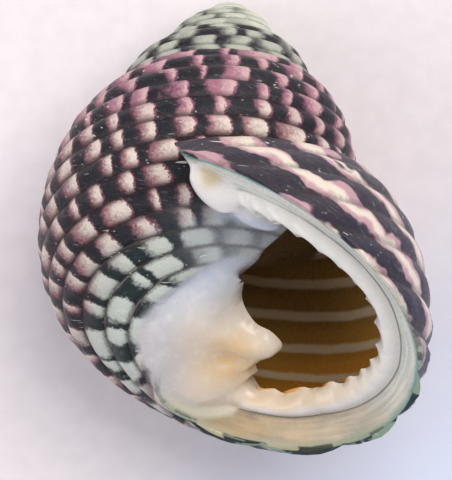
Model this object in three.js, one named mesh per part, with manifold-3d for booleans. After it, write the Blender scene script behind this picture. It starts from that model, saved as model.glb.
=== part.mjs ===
import * as THREE from 'three';
import { mergeVertices } from 'three/addons/utils/BufferGeometryUtils.js';
import Module from 'manifold-3d';

const wasm = await Module();
wasm.setup();

// A toothed top shell that grew as one piece: a right-handed coil of corded whorls, an oval mouth
// with a toothed rib inside its lip, and a pillar with one strong tooth. Millimetres, +Z up.
// It is shaped about its own axis, apex up, and then laid on its back with the mouth up.
// Turns are counted along the coil: 0 lies just behind the lip, negative turns run to the apex.
// The angle round a whorl's section is 0 at the outside, positive above it, in radians.

// Coil
const coilRadius = 8.0;
const growthPerTurn = 1.97;
const growthSwell = 0.2196;
const swellTurns = 2.5;
const coilDrop = 21.68;
const dropPower = 1.266;
const apexTurn = -4.2;
const throatTurn = -0.56;
const backTurn = -0.7;

// Whorl section: a leaning oval, filled out under the base
const sectionHalfWidth = 6.32;
const sectionHalfHeight = 10.24;
const sectionLean = 0.1834;
const baseFullness = 0.555;
const baseAngle = -2.55;
const baseSpread = 0.55;

// Spiral cords; the glaze beside the mouth smooths them over
const cordCount = 15;
const cordTop = 1.45;
const cordBottom = -2.5;
const cordRelief = 0.34;
const plainStations = 8;
const spireCords = 9;
const spirePlain = 6;
const glazeTurn = -0.7;
const glazeAngle = -1.1;

// Lip: the turn where the whorl ends, by the angle round its section
const lipTurn = 0.13406;
const lipSlant = 0.17863;
const lipCurve = -0.0258;
const lipNotch = 0.06602;
const lipNotchAngle = 1.35;
const lipNotchSpread = 0.35;
const lipInnerAngle = -2.5;
const lipOuterAngle = 1.15;

// Mouth plane, and the broad face between the lip and the opening
const mouthCentre = new THREE.Vector3(7.517, -1.712, -25.204);
const mouthNormal = new THREE.Vector3(-0.234, -0.332, -0.9138).normalize();
const mouthRight = new THREE.Vector3(0.9698, -0.0125, -0.2438).normalize();
const openingCentre = { x: -1.5, y: 0 };
const rimShare = 0.06;
const faceWidths = [
  { angle: 1.15, width: 4.0, depth: 1.9 },
  { angle: 0.75, width: 5.0, depth: 1.2 },
  { angle: 0.4, width: 4.3, depth: 0.7 },
  { angle: 0.09, width: 3.9, depth: 0.7 },
  { angle: -0.29, width: 3.2, depth: 1.1 },
  { angle: -0.68, width: 3.3, depth: 1.5 },
  { angle: -1.25, width: 4.6, depth: 1.9 },
  { angle: -1.64, width: 3.4, depth: 2.1 },
  { angle: -2.22, width: 3.0, depth: 3.2 },
  { angle: -2.6, width: 1.2, depth: 3.8 },
  { angle: -5.14, width: 4.0, depth: 1.9 },
];

// The face across: a sunk pearly band, a fine groove and the rounded white rib, up to the opening
const faceRows = [
  { share: 0.12, sink: 0.1 },
  { share: 0.4, sink: 0.35 },
  { share: 0.47, sink: 0.45 },
  { share: 0.56, sink: -0.15 },
  { share: 0.74, sink: -0.45 },
  { share: 0.9, sink: -0.3 },
];
const toothCount = 19;
const toothTop = 0.66;
const toothBottom = -1.6;
const toothReach = 0.3;
const plainEdgeSteps = 18;

// Throat
const wallShare = 0.82;
const clearShare = 1.12;
const ribDepth = 4;
const throatRows = [0.05, 0.12, 0.22, 0.36, 0.5, 0.66, 0.83, 1];

// The pillar's smooth shield with its tooth, in the mouth plane: right, up, and depth behind it
const shieldEdge = [
  { x: -5.1, y: 3.2, depth: 3.9 },
  { x: -5.75, y: 1.2, depth: 2.9 },
  { x: -5.85, y: -0.5, depth: 2.4 },
  { x: -4.8, y: -1.6, depth: 1.8 },
  { x: -3.6, y: -1.9, depth: 1.6 },
  { x: -2.9, y: -2.7, depth: 1.6 },
  { x: -3.2, y: -3.7, depth: 1.7 },
  { x: -4.1, y: -4.6, depth: 1.9 },
  { x: -4.8, y: -5.7, depth: 2.1 },
  { x: -4.5, y: -7.5, depth: 2.5 },
  { x: -5.4, y: -9.2, depth: 2.0 },
  { x: -7.5, y: -9.0, depth: 0.6 },
  { x: -9.1, y: -7.6, depth: -0.9 },
  { x: -10.4, y: -4.6, depth: -1.5 },
  { x: -10.9, y: -2.0, depth: -1.1 },
  { x: -10.2, y: 0.0, depth: -0.3 },
  { x: -9.3, y: 1.3, depth: 1.0 },
  { x: -8.2, y: 2.7, depth: 1.9 },
  { x: -7.4, y: 5.0, depth: 3.0 },
  { x: -6.2, y: 4.8, depth: 3.8 },
];
const shieldMiddle = { x: -7.6, y: -2.7, depth: 0 };
const shieldBack = { x: -10.9, y: -8.7, depth: 8 };
const shieldUndercut = 0.5;
const dishCentre = { x: -5.8, y: -4.1, depth: 0.9 };
const dishRadius = 1.3;
const dishDepth = 0.6;

// The white knob where the lip meets the spire, and the callus that runs from it under the rib
const knob = { x: -7.15, y: 9.95, depth: 1.5, slope: -0.8, length: 2.2, width: 1.25, height: 1.2 };
const callus = { x: -5.5, y: 8.4, depth: 2.4, slope: -0.5, length: 2.7, width: 1.25, height: 1.15 };

// How it lies: the shell's own directions that come to point up and right, and the flat it rests on
const restUp = new THREE.Vector3(0.1081, -0.8214, -0.56).normalize();
const restRight = new THREE.Vector3(0.9912, 0.1022, 0.0847);
const restTrim = 0.4;

const turnAngle = 2 * Math.PI;

function bell(distance, spread) {
  return Math.exp(-((distance / spread) ** 2));
}

function growth(t) {
  const swell = growthSwell * t * t * bell(Math.min(t, 0), swellTurns);
  return Math.exp(Math.log(growthPerTurn) * t + swell);
}

// A point of the whorl: reach is the share of the section's size, lift stands off its outside
function whorlPoint(t, angle, reach = 1, lift = 0) {
  const turned = Math.atan2(Math.sin(angle - baseAngle), Math.cos(angle - baseAngle));
  const full = reach * (1 + baseFullness * bell(turned, baseSpread));
  const normal = new THREE.Vector2(
    Math.cos(angle) / sectionHalfWidth,
    Math.sin(angle) / sectionHalfHeight,
  ).normalize();
  const across = sectionHalfWidth * Math.cos(angle) * full + lift * normal.x;
  const upright = sectionHalfHeight * Math.sin(angle) * full + lift * normal.y;
  const size = growth(t);
  const leanCos = Math.cos(sectionLean);
  const leanSin = Math.sin(sectionLean);
  const radius = size * (coilRadius + across * leanCos - upright * leanSin);
  const height = -coilDrop * size ** dropPower + size * (across * leanSin + upright * leanCos);
  const azimuth = -turnAngle * t;
  return new THREE.Vector3(radius * Math.cos(azimuth), radius * Math.sin(azimuth), height);
}

function corded(t, { angle, lift }) {
  const behind = THREE.MathUtils.smoothstep(glazeTurn - t, -0.06, 0.06);
  const below = THREE.MathUtils.smoothstep(glazeAngle - angle, -0.3, 0.3);
  return whorlPoint(t, angle, 1, lift * (1 - behind * below));
}

function lipAt(angle) {
  const notch = lipNotch * bell(angle - lipNotchAngle, lipNotchSpread);
  return lipTurn + lipSlant * angle + lipCurve * angle * angle - notch;
}

// The turn where the last whorl ends: on the lip itself, and inside the earlier whorls a ramp between
function endTurn(angle) {
  if (angle <= lipOuterAngle && angle >= lipInnerAngle) return lipAt(angle);
  return THREE.MathUtils.lerp(lipAt(lipInnerAngle), lipAt(lipOuterAngle), behindShare(angle));
}

// The share of the way from the lip's lower end to its upper one, behind the earlier whorls
function behindShare(angle) {
  const past = angle > lipOuterAngle ? angle - turnAngle : angle;
  return (lipInnerAngle - past) / (lipInnerAngle + turnAngle - lipOuterAngle);
}

// Angles between two ends at equal steps along the line that pointAt draws
function evenAngles(from, to, count, pointAt) {
  const fine = 600;
  const walk = [{ angle: from, length: 0 }];
  for (let i = 1; i <= fine; i++) {
    const angle = THREE.MathUtils.lerp(from, to, i / fine);
    const step = pointAt(angle).distanceTo(pointAt(walk[i - 1].angle));
    walk.push({ angle, length: walk[i - 1].length + step });
  }
  const angles = [];
  for (let i = 0; i <= count; i++) {
    const length = (walk[fine].length * i) / count;
    angles.push(walk.find((step) => step.length >= length - 1e-6).angle);
  }
  return angles;
}

// Groove and crest of every cord down the section, then its plain inner side
function sectionStations(cords, plain) {
  const outside = evenAngles(cordTop, cordBottom, 2 * cordCount, (angle) => whorlPoint(0, angle));
  const shown = outside.slice(0, 2 * cords + 1);
  const stations = shown.map((angle, i) => ({ angle, lift: (i % 2 ? 0.5 : -0.5) * cordRelief }));
  const bottom = shown[2 * cords];
  const innerSpan = turnAngle - (cordTop - bottom);
  for (let i = 1; i <= plain; i++) {
    stations.push({ angle: bottom - (innerSpan * i) / (plain + 1), lift: 0 });
  }
  return stations;
}

// A closed solid from rings of equal length, each end closed by a fan to its centre
function ringSolid(rings, startCentre, endCentre) {
  const count = rings[0].length;
  const points = [...rings.flat(), startCentre, endCentre];
  const start = points.length - 2;
  const end = points.length - 1;
  const faces = [];
  for (let j = 0; j < count; j++) {
    const next = (j + 1) % count;
    faces.push(start, j, next);
    for (let i = 0; i + 1 < rings.length; i++) {
      const low = i * count;
      const high = low + count;
      faces.push(low + j, high + next, low + next);
      faces.push(low + j, high + j, high + next);
    }
    const last = (rings.length - 1) * count;
    faces.push(end, last + next, last + j);
  }
  const geometry = new THREE.BufferGeometry().setFromPoints(points);
  geometry.setIndex(faces);
  return geometry;
}

function toSolid(geometry) {
  const bare = geometry.clone();
  bare.deleteAttribute('normal');
  bare.deleteAttribute('uv');
  const merged = mergeVertices(bare, 1e-5);
  return new wasm.Manifold(new wasm.Mesh({
    numProp: 3,
    vertProperties: new Float32Array(merged.attributes.position.array),
    triVerts: new Uint32Array(merged.index.array),
  }));
}

function toGeometry(solid) {
  const mesh = solid.getMesh();
  const geometry = new THREE.BufferGeometry();
  geometry.setAttribute('position', new THREE.BufferAttribute(mesh.vertProperties, 3));
  geometry.setIndex(new THREE.BufferAttribute(mesh.triVerts, 1));
  geometry.computeVertexNormals();
  return geometry;
}

function middle(ring) {
  const sum = ring.reduce((total, point) => total.add(point), new THREE.Vector3());
  return sum.divideScalar(ring.length);
}

// The middle of an end ring, pushed out so that the whorl reaches into its neighbour
function beyond(end, before) {
  const centre = middle(end);
  return centre.clone().lerp(middle(before), -0.4);
}

function whorlSegment(fromTurn, toTurn, steps, stations) {
  const rings = [];
  for (let i = 0; i <= steps; i++) {
    const t = THREE.MathUtils.lerp(fromTurn, toTurn, i / steps);
    rings.push(stations.map((station) => corded(t, station)));
  }
  return ringSolid(rings, beyond(rings[0], rings[1]), beyond(rings[steps], rings[steps - 1]));
}

function lastWhorl(steps, stations) {
  const rings = [];
  for (let i = 0; i <= steps; i++) {
    rings.push(stations.map((station) => {
      return corded(THREE.MathUtils.lerp(backTurn, endTurn(station.angle), i / steps), station);
    }));
  }
  return ringSolid(rings, beyond(rings[0], rings[1]), mouthCentre);
}

const mouthUp = new THREE.Vector3().crossVectors(mouthNormal, mouthRight);

function mouthPoint({ x, y, depth }) {
  return mouthCentre.clone()
    .addScaledVector(mouthRight, x)
    .addScaledVector(mouthUp, y)
    .addScaledVector(mouthNormal, -depth);
}

function facePlace(angle) {
  const next = Math.max(1, faceWidths.findIndex((place) => place.angle <= angle));
  const above = faceWidths[next - 1];
  const below = faceWidths[next];
  const share = (above.angle - angle) / (above.angle - below.angle);
  return {
    width: THREE.MathUtils.lerp(above.width, below.width, share),
    depth: THREE.MathUtils.lerp(above.depth, below.depth, share),
  };
}

// A place on the edge of the opening: in from the lip by the width of the face, behind the plane
function openingPoint(angle, reach = 0) {
  const offset = whorlPoint(endTurn(angle), angle).sub(mouthCentre);
  const lip = new THREE.Vector2(offset.dot(mouthRight), offset.dot(mouthUp));
  const inward = new THREE.Vector2(openingCentre.x, openingCentre.y).sub(lip).normalize();
  const { width, depth } = facePlace(angle);
  const place = lip.addScaledVector(inward, width + reach);
  return mouthPoint({ x: place.x, y: place.y, depth });
}

// How far the last whorl's own wall is left out, where it lies against the earlier whorls
function leftOut(angle) {
  const below = THREE.MathUtils.smoothstep(-angle, 2.4, 2.7);
  const above = THREE.MathUtils.smoothstep(-angle, 4.7, 5.0);
  return below * (1 - above);
}

function before(point) {
  return point.clone().addScaledVector(mouthNormal, 5);
}

// Straight across in front of the mouth, between the two ends of the lip
function frontBetween(share) {
  const lower = whorlPoint(lipAt(lipInnerAngle), lipInnerAngle);
  const upper = whorlPoint(lipAt(lipOuterAngle), lipOuterAngle);
  return before(lower.lerp(upper, share));
}

// What is missing from the last whorl: the hollow of the mouth's face and the throat behind it
function mouthHollow() {
  const toothed = evenAngles(toothTop, toothBottom, 2 * toothCount, (angle) => openingPoint(angle));
  const stations = toothed.map((angle, i) => ({ angle, reach: (i % 2 ? 0.5 : -0.5) * toothReach }));
  const plainSpan = turnAngle - (toothTop - toothBottom);
  for (let i = 1; i <= plainEdgeSteps; i++) {
    const angle = toothBottom - (plainSpan * i) / (plainEdgeSteps + 1);
    const onLip = angle < lipOuterAngle - turnAngle;
    stations.push({ angle: onLip ? angle + turnAngle : angle, reach: 0 });
  }
  const lines = stations.map(({ angle, reach }) => {
    const from = endTurn(angle);
    const out = leftOut(angle);
    const clear = whorlPoint(from, angle, clearShare);
    const inner = openingPoint(angle, reach).lerp(clear, out);
    const edge = whorlPoint(from, angle).lerp(inner, rimShare);
    const rim = edge.lerp(clear.addScaledVector(mouthNormal, 1.5), out);
    const line = [angle < lipInnerAngle ? frontBetween(behindShare(angle)) : before(rim), rim];
    for (const { share, sink } of faceRows) {
      line.push(rim.clone().lerp(inner, share).addScaledVector(mouthNormal, -sink * (1 - out)));
    }
    line.push(inner);
    const reachIn = THREE.MathUtils.lerp(wallShare, clearShare, out);
    const wall = whorlPoint(from, angle, reachIn);
    const offset = inner.clone().sub(wall);
    const run = wall.distanceTo(whorlPoint(throatTurn, angle, reachIn)) + 1;
    for (const share of throatRows) {
      const fade = 1 - THREE.MathUtils.smoothstep(share, 0, Math.min(1, ribDepth / run));
      const t = THREE.MathUtils.lerp(from, throatTurn, share);
      line.push(whorlPoint(t, angle, reachIn).addScaledVector(offset, fade));
    }
    return line;
  });
  const rings = lines[0].map((point, row) => lines.map((line) => line[row])).reverse();
  const front = mouthCentre.clone().addScaledVector(mouthNormal, 8);
  return ringSolid(rings, middle(rings[0]), front);
}

// The shield: its face domes from the edge to the middle, and its sides lean back under it into the coil
function shield() {
  const outline = new THREE.CatmullRomCurve3(shieldEdge.map(mouthPoint), true, 'centripetal');
  const edge = outline.getPoints(2 * shieldEdge.length).slice(0, -1);
  const centre = mouthPoint(shieldMiddle);
  const back = mouthPoint(shieldBack);
  const dish = mouthPoint(dishCentre);
  const inside = (share, rise) => edge.map((point) => {
    const place = point.clone().lerp(centre, share);
    const sink = dishDepth * bell(place.distanceTo(dish), dishRadius);
    return place.addScaledVector(mouthNormal, rise - sink);
  });
  const skirt = edge.map((point) => point.clone().addScaledVector(mouthNormal, -0.7));
  const foot = edge.map((point) => point.clone().lerp(back, shieldUndercut).addScaledVector(mouthNormal, -1));
  return ringSolid([foot, skirt, edge, inside(0.1, 0.25), inside(0.3, 0.3), inside(0.6, 0.2)], back, centre);
}

// The solid middle of the coil, which closes the navel and fills the spire
function pillar() {
  const heights = [-0.4, -2, -5, -9, -13, -18, -21.5];
  const shares = [0.5, 0.6, 0.6, 0.6, 0.5, 0.2, 0.15];
  const outline = heights.map((height, i) => {
    const size = (-height / coilDrop) ** (1 / dropPower);
    return new THREE.Vector2(shares[i] * coilRadius * size, height);
  });
  outline.unshift(new THREE.Vector2(0, heights[0]));
  outline.push(new THREE.Vector2(0, heights[heights.length - 1]));
  const turned = new THREE.LatheGeometry(outline.reverse(), 20);
  return turned.rotateX(Math.PI / 2);
}

function lump(values) {
  const along = mouthRight.clone().applyAxisAngle(mouthNormal, values.slope);
  const across = new THREE.Vector3().crossVectors(mouthNormal, along);
  const place = new THREE.Matrix4().makeBasis(along, across, mouthNormal).setPosition(mouthPoint(values));
  const ball = new THREE.SphereGeometry(1, 12, 8).scale(values.length, values.width, values.height);
  return ball.applyMatrix4(place);
}

const fullStations = sectionStations(cordCount, plainStations);
const spireStations = sectionStations(spireCords, spirePlain);
const last = toSolid(lastWhorl(36, fullStations));
let shell = last.add(toSolid(pillar())).subtract(toSolid(mouthHollow()));
const spire = [
  { from: -1.2, to: backTurn, steps: 13, stations: fullStations },
  { from: -1.7, to: -1.2, steps: 11, stations: spireStations },
  { from: -2.2, to: -1.7, steps: 10, stations: spireStations },
  { from: -2.7, to: -2.2, steps: 9, stations: spireStations },
  { from: -3.2, to: -2.7, steps: 8, stations: spireStations },
  { from: -3.7, to: -3.2, steps: 7, stations: spireStations },
  { from: apexTurn, to: -3.7, steps: 6, stations: spireStations },
];
for (const { from, to, steps, stations } of spire) {
  shell = shell.add(toSolid(whorlSegment(from, to, steps, stations)));
}
shell = shell.add(toSolid(shield())).add(toSolid(lump(knob))).add(toSolid(lump(callus)));

// Laid down, with the lowest cords worn flat and the middle of its bounds over the origin
function laidDown(geometry) {
  const right = restRight.clone().projectOnPlane(restUp).normalize();
  const away = new THREE.Vector3().crossVectors(restUp, right);
  const turn = new THREE.Matrix4().makeBasis(right, away, restUp).transpose();
  const laid = geometry.clone().applyMatrix4(turn);
  laid.computeBoundingBox();
  const { min, max } = laid.boundingBox;
  return laid.translate(-(min.x + max.x) / 2, -(min.y + max.y) / 2, -min.z - restTrim);
}

const floor = new THREE.BoxGeometry(100, 100, 10).translate(0, 0, -5);
const rested = toSolid(laidDown(toGeometry(shell))).subtract(toSolid(floor));

const material = new THREE.MeshStandardMaterial({ color: 0x5d4a52, roughness: 0.35, metalness: 0 });
const mesh = new THREE.Mesh(toGeometry(rested), material);
mesh.name = 'shell';

const shellGroup = new THREE.Group();
shellGroup.add(mesh);

export default shellGroup;
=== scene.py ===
import math
from functools import partial
import bmesh
import bpy
import numpy as np
from mathutils import Matrix, Vector
from mathutils.geometry import delaunay_2d_cdt
from mathutils.kdtree import KDTree


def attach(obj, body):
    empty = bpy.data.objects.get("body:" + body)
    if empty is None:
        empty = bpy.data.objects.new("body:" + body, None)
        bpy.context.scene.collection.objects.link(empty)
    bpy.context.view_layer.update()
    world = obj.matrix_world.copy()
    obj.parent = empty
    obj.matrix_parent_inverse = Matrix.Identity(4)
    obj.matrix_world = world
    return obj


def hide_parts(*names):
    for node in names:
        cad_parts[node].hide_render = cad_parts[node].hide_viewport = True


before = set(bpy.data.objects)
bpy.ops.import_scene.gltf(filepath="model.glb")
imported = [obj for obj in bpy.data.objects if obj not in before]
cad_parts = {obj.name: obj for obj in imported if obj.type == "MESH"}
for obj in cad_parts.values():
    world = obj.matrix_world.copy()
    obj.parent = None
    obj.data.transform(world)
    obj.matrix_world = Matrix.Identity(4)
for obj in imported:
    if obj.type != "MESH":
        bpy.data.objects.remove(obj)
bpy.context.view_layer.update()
print("frame loaded")

# The coil, in millimetres about its own axis with the apex up. Turns count along it: 0 lies just
# behind the lip and negative turns run to the apex. Angles go round a whorl's section, 0 outside.
coil = {
    "coilRadius": 8.0,
    "growthPerTurn": 1.97,
    "growthSwell": 0.2196,
    "swellTurns": 2.5,
    "coilDrop": 21.68,
    "dropPower": 1.266,
    "apexTurn": -4.2,
    "backTurn": -0.7,
    "halfWidth": 6.32,
    "halfHeight": 10.24,
    "lean": 0.1834,
    "baseFullness": 0.555,
    "baseAngle": -2.55,
    "baseSpread": 0.55,
    "cordCount": 15,
    "cordTop": 1.45,
    "cordBottom": -2.5,
    "cordRelief": 0.5,
    "spireCords": 9,
    "beadRelief": 0.085,
    "beadLength": 1.15,
    "unevenness": 0.1,
    "glazeTurn": -0.7,
    "glazeAngle": -1.1,
    "lipCalm": 0.6,
    "callusEdge": -0.885,
    "callusRise": 0.5,
    "throatSink": 0.5,
    "seed": 7.0,
}

lip = {
    "turn": 0.13406,
    "slant": 0.17863,
    "curve": -0.0258,
    "notch": 0.06602,
    "notchAngle": 1.35,
    "notchSpread": 0.35,
    "innerAngle": -2.5,
    "outerAngle": 1.15,
}

mouth = {
    "centre": (7.517, -1.712, -25.204),
    "normal": (-0.234, -0.332, -0.9138),
    "right": (0.9698, -0.0125, -0.2438),
    "opening": (-1.5, 0.0),
    "rimShare": 0.06,
    # angle round the section, width of the face there, depth of its inner edge
    "face": [
        (1.15, 4.0, 1.9), (0.75, 5.0, 1.2), (0.4, 4.3, 0.7), (0.09, 3.9, 0.7), (-0.29, 3.2, 1.1),
        (-0.68, 3.3, 1.5), (-1.25, 4.6, 1.9), (-1.64, 3.4, 2.1), (-2.22, 3.0, 3.2), (-2.6, 1.2, 3.8),
        (-5.14, 4.0, 1.9),
    ],
    "faceRows": 26,
    "toothedStations": 210,
    "plainStations": 92,
    "bandSink": 0.4,
    "ribFrom": 0.49,
    "ribNarrows": 0.13,
    "ribRise": 0.66,
    "toothCount": 16,
    "toothTop": 0.66,
    "toothBottom": -1.6,
    "toothReach": 0.55,
    "toothRise": 0.16,
    "wallShare": 0.82,
    "clearShare": 1.12,
    "ribDepth": 4.0,
    "throatTurn": -0.56,
    "throatRows": 34,
    "threads": 21.7,
    "threadAngle": 0.13,
    "threadRise": 0.01,
}

# The rest pose: the shell's own directions that come to point right, away and up, then the shift
rest = {
    "right": (0.994063, 0.082317, 0.071148),
    "away": (-0.012344, -0.564371, 0.825429),
    "up": (0.108101, -0.821407, -0.560005),
    "shift": (-0.405108, 13.774152, 1.500470),
}


def bell(distance, spread):
    return np.exp(-(distance / spread) ** 2)


def smoothStep(low, high, value):
    x = np.clip((np.asarray(value, float) - low) / (high - low), 0, 1)
    return x * x * (3 - 2 * x)


def growthAt(t):
    swell = coil["growthSwell"] * t * t * bell(np.minimum(t, 0), coil["swellTurns"])
    return np.exp(math.log(coil["growthPerTurn"]) * t + swell)


def whorlPoints(t, angle, reach=1.0, lift=0.0):
    t, angle = np.broadcast_arrays(np.asarray(t, float), np.asarray(angle, float))
    turned = np.arctan2(np.sin(angle - coil["baseAngle"]), np.cos(angle - coil["baseAngle"]))
    full = reach * (1 + coil["baseFullness"] * bell(turned, coil["baseSpread"]))
    nx, ny = np.cos(angle) / coil["halfWidth"], np.sin(angle) / coil["halfHeight"]
    length = np.hypot(nx, ny)
    across = coil["halfWidth"] * np.cos(angle) * full + lift * nx / length
    upright = coil["halfHeight"] * np.sin(angle) * full + lift * ny / length
    size = growthAt(t)
    cosLean, sinLean = math.cos(coil["lean"]), math.sin(coil["lean"])
    radius = size * (coil["coilRadius"] + across * cosLean - upright * sinLean)
    height = -coil["coilDrop"] * size ** coil["dropPower"] + size * (across * sinLean + upright * cosLean)
    azimuth = -2 * math.pi * t
    return np.stack([radius * np.cos(azimuth), radius * np.sin(azimuth), height], -1)


def lipAt(angle):
    notch = lip["notch"] * bell(angle - lip["notchAngle"], lip["notchSpread"])
    return lip["turn"] + lip["slant"] * angle + lip["curve"] * angle ** 2 - notch


def behindShare(angle):
    past = np.where(angle > lip["outerAngle"], angle - 2 * math.pi, angle)
    return (lip["innerAngle"] - past) / (lip["innerAngle"] + 2 * math.pi - lip["outerAngle"])


def endTurn(angle):
    angle = np.asarray(angle, float)
    low, high = lipAt(np.array(lip["innerAngle"])), lipAt(np.array(lip["outerAngle"]))
    onLip = (angle <= lip["outerAngle"]) & (angle >= lip["innerAngle"])
    return np.where(onLip, lipAt(angle), low + (high - low) * behindShare(angle))


# Length along the outside of the coil, and where each cord lies round the section
turnSteps = np.linspace(coil["apexTurn"] - 0.3, 0.7, 4000)
outsideRadius = np.hypot(*whorlPoints(turnSteps, 0.0)[:, :2].T)
arcPieces = np.diff(turnSteps) * math.pi * (outsideRadius[1:] + outsideRadius[:-1])
arcSteps = np.concatenate([[0], np.cumsum(arcPieces)])
cordAngles = np.linspace(coil["cordTop"], coil["cordBottom"], 1200)
cordWalk = np.linalg.norm(np.diff(whorlPoints(0.0, cordAngles), axis=0), axis=1)
cordWalk = np.concatenate([[0], np.cumsum(cordWalk)])
cordWalk *= coil["cordCount"] / cordWalk[-1]


def arcAt(t):
    return np.interp(t, turnSteps, arcSteps)


def cordAt(angle):
    return np.interp(-angle, -cordAngles, cordWalk)


# Stations round the section: eight over each cord, close together in the grooves, then the plain inner side
def sectionStations(cords, plain):
    across = np.array([0, 0.07, 0.18, 0.34, 0.5, 0.66, 0.82, 0.93])
    cord = np.concatenate([k + across for k in range(cords)] + [[cords]])
    angle = np.interp(cord, cordWalk, cordAngles)
    part = cord % 1
    lift = np.abs(np.sin(math.pi * part)) ** 0.8 - 0.55
    inner = 2 * math.pi - (coil["cordTop"] - angle[-1])
    more = angle[-1] - inner * np.arange(1, plain + 1) / (plain + 1)
    angle = np.concatenate([angle, more])
    lift = np.concatenate([lift, np.zeros(plain)])
    return angle, lift, endTurn(angle)


# A socket takes a link or a plain value
def wire(tree, socket, value):
    if isinstance(value, bpy.types.NodeSocket):
        tree.links.new(value, socket)
    else:
        socket.default_value = value


def calc(tree, operation, *values):
    node = tree.nodes.new("ShaderNodeMath")
    node.operation = operation
    for socket, value in zip(node.inputs, values):
        wire(tree, socket, value)
    return node.outputs[0]


def ease(tree, value, low, high, toLow=0.0, toHigh=1.0):
    node = tree.nodes.new("ShaderNodeMapRange")
    node.interpolation_type = "SMOOTHSTEP"
    wire(tree, node.inputs["Value"], value)
    for name, number in (("From Min", low), ("From Max", high), ("To Min", toLow), ("To Max", toHigh)):
        wire(tree, node.inputs[name], number)
    return node.outputs[0]


def noise(tree, vector, scale, detail=2.0, roughness=0.5):
    node = tree.nodes.new("ShaderNodeTexNoise")
    wire(tree, node.inputs["Vector"], vector)
    node.inputs["Scale"].default_value = scale
    node.inputs["Detail"].default_value = detail
    node.inputs["Roughness"].default_value = roughness
    return node.outputs[0]


def vectorOf(tree, x, y, z=0.0):
    node = tree.nodes.new("ShaderNodeCombineXYZ")
    for socket, value in zip(node.inputs, (x, y, z)):
        wire(tree, socket, value)
    return node.outputs[0]


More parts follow.
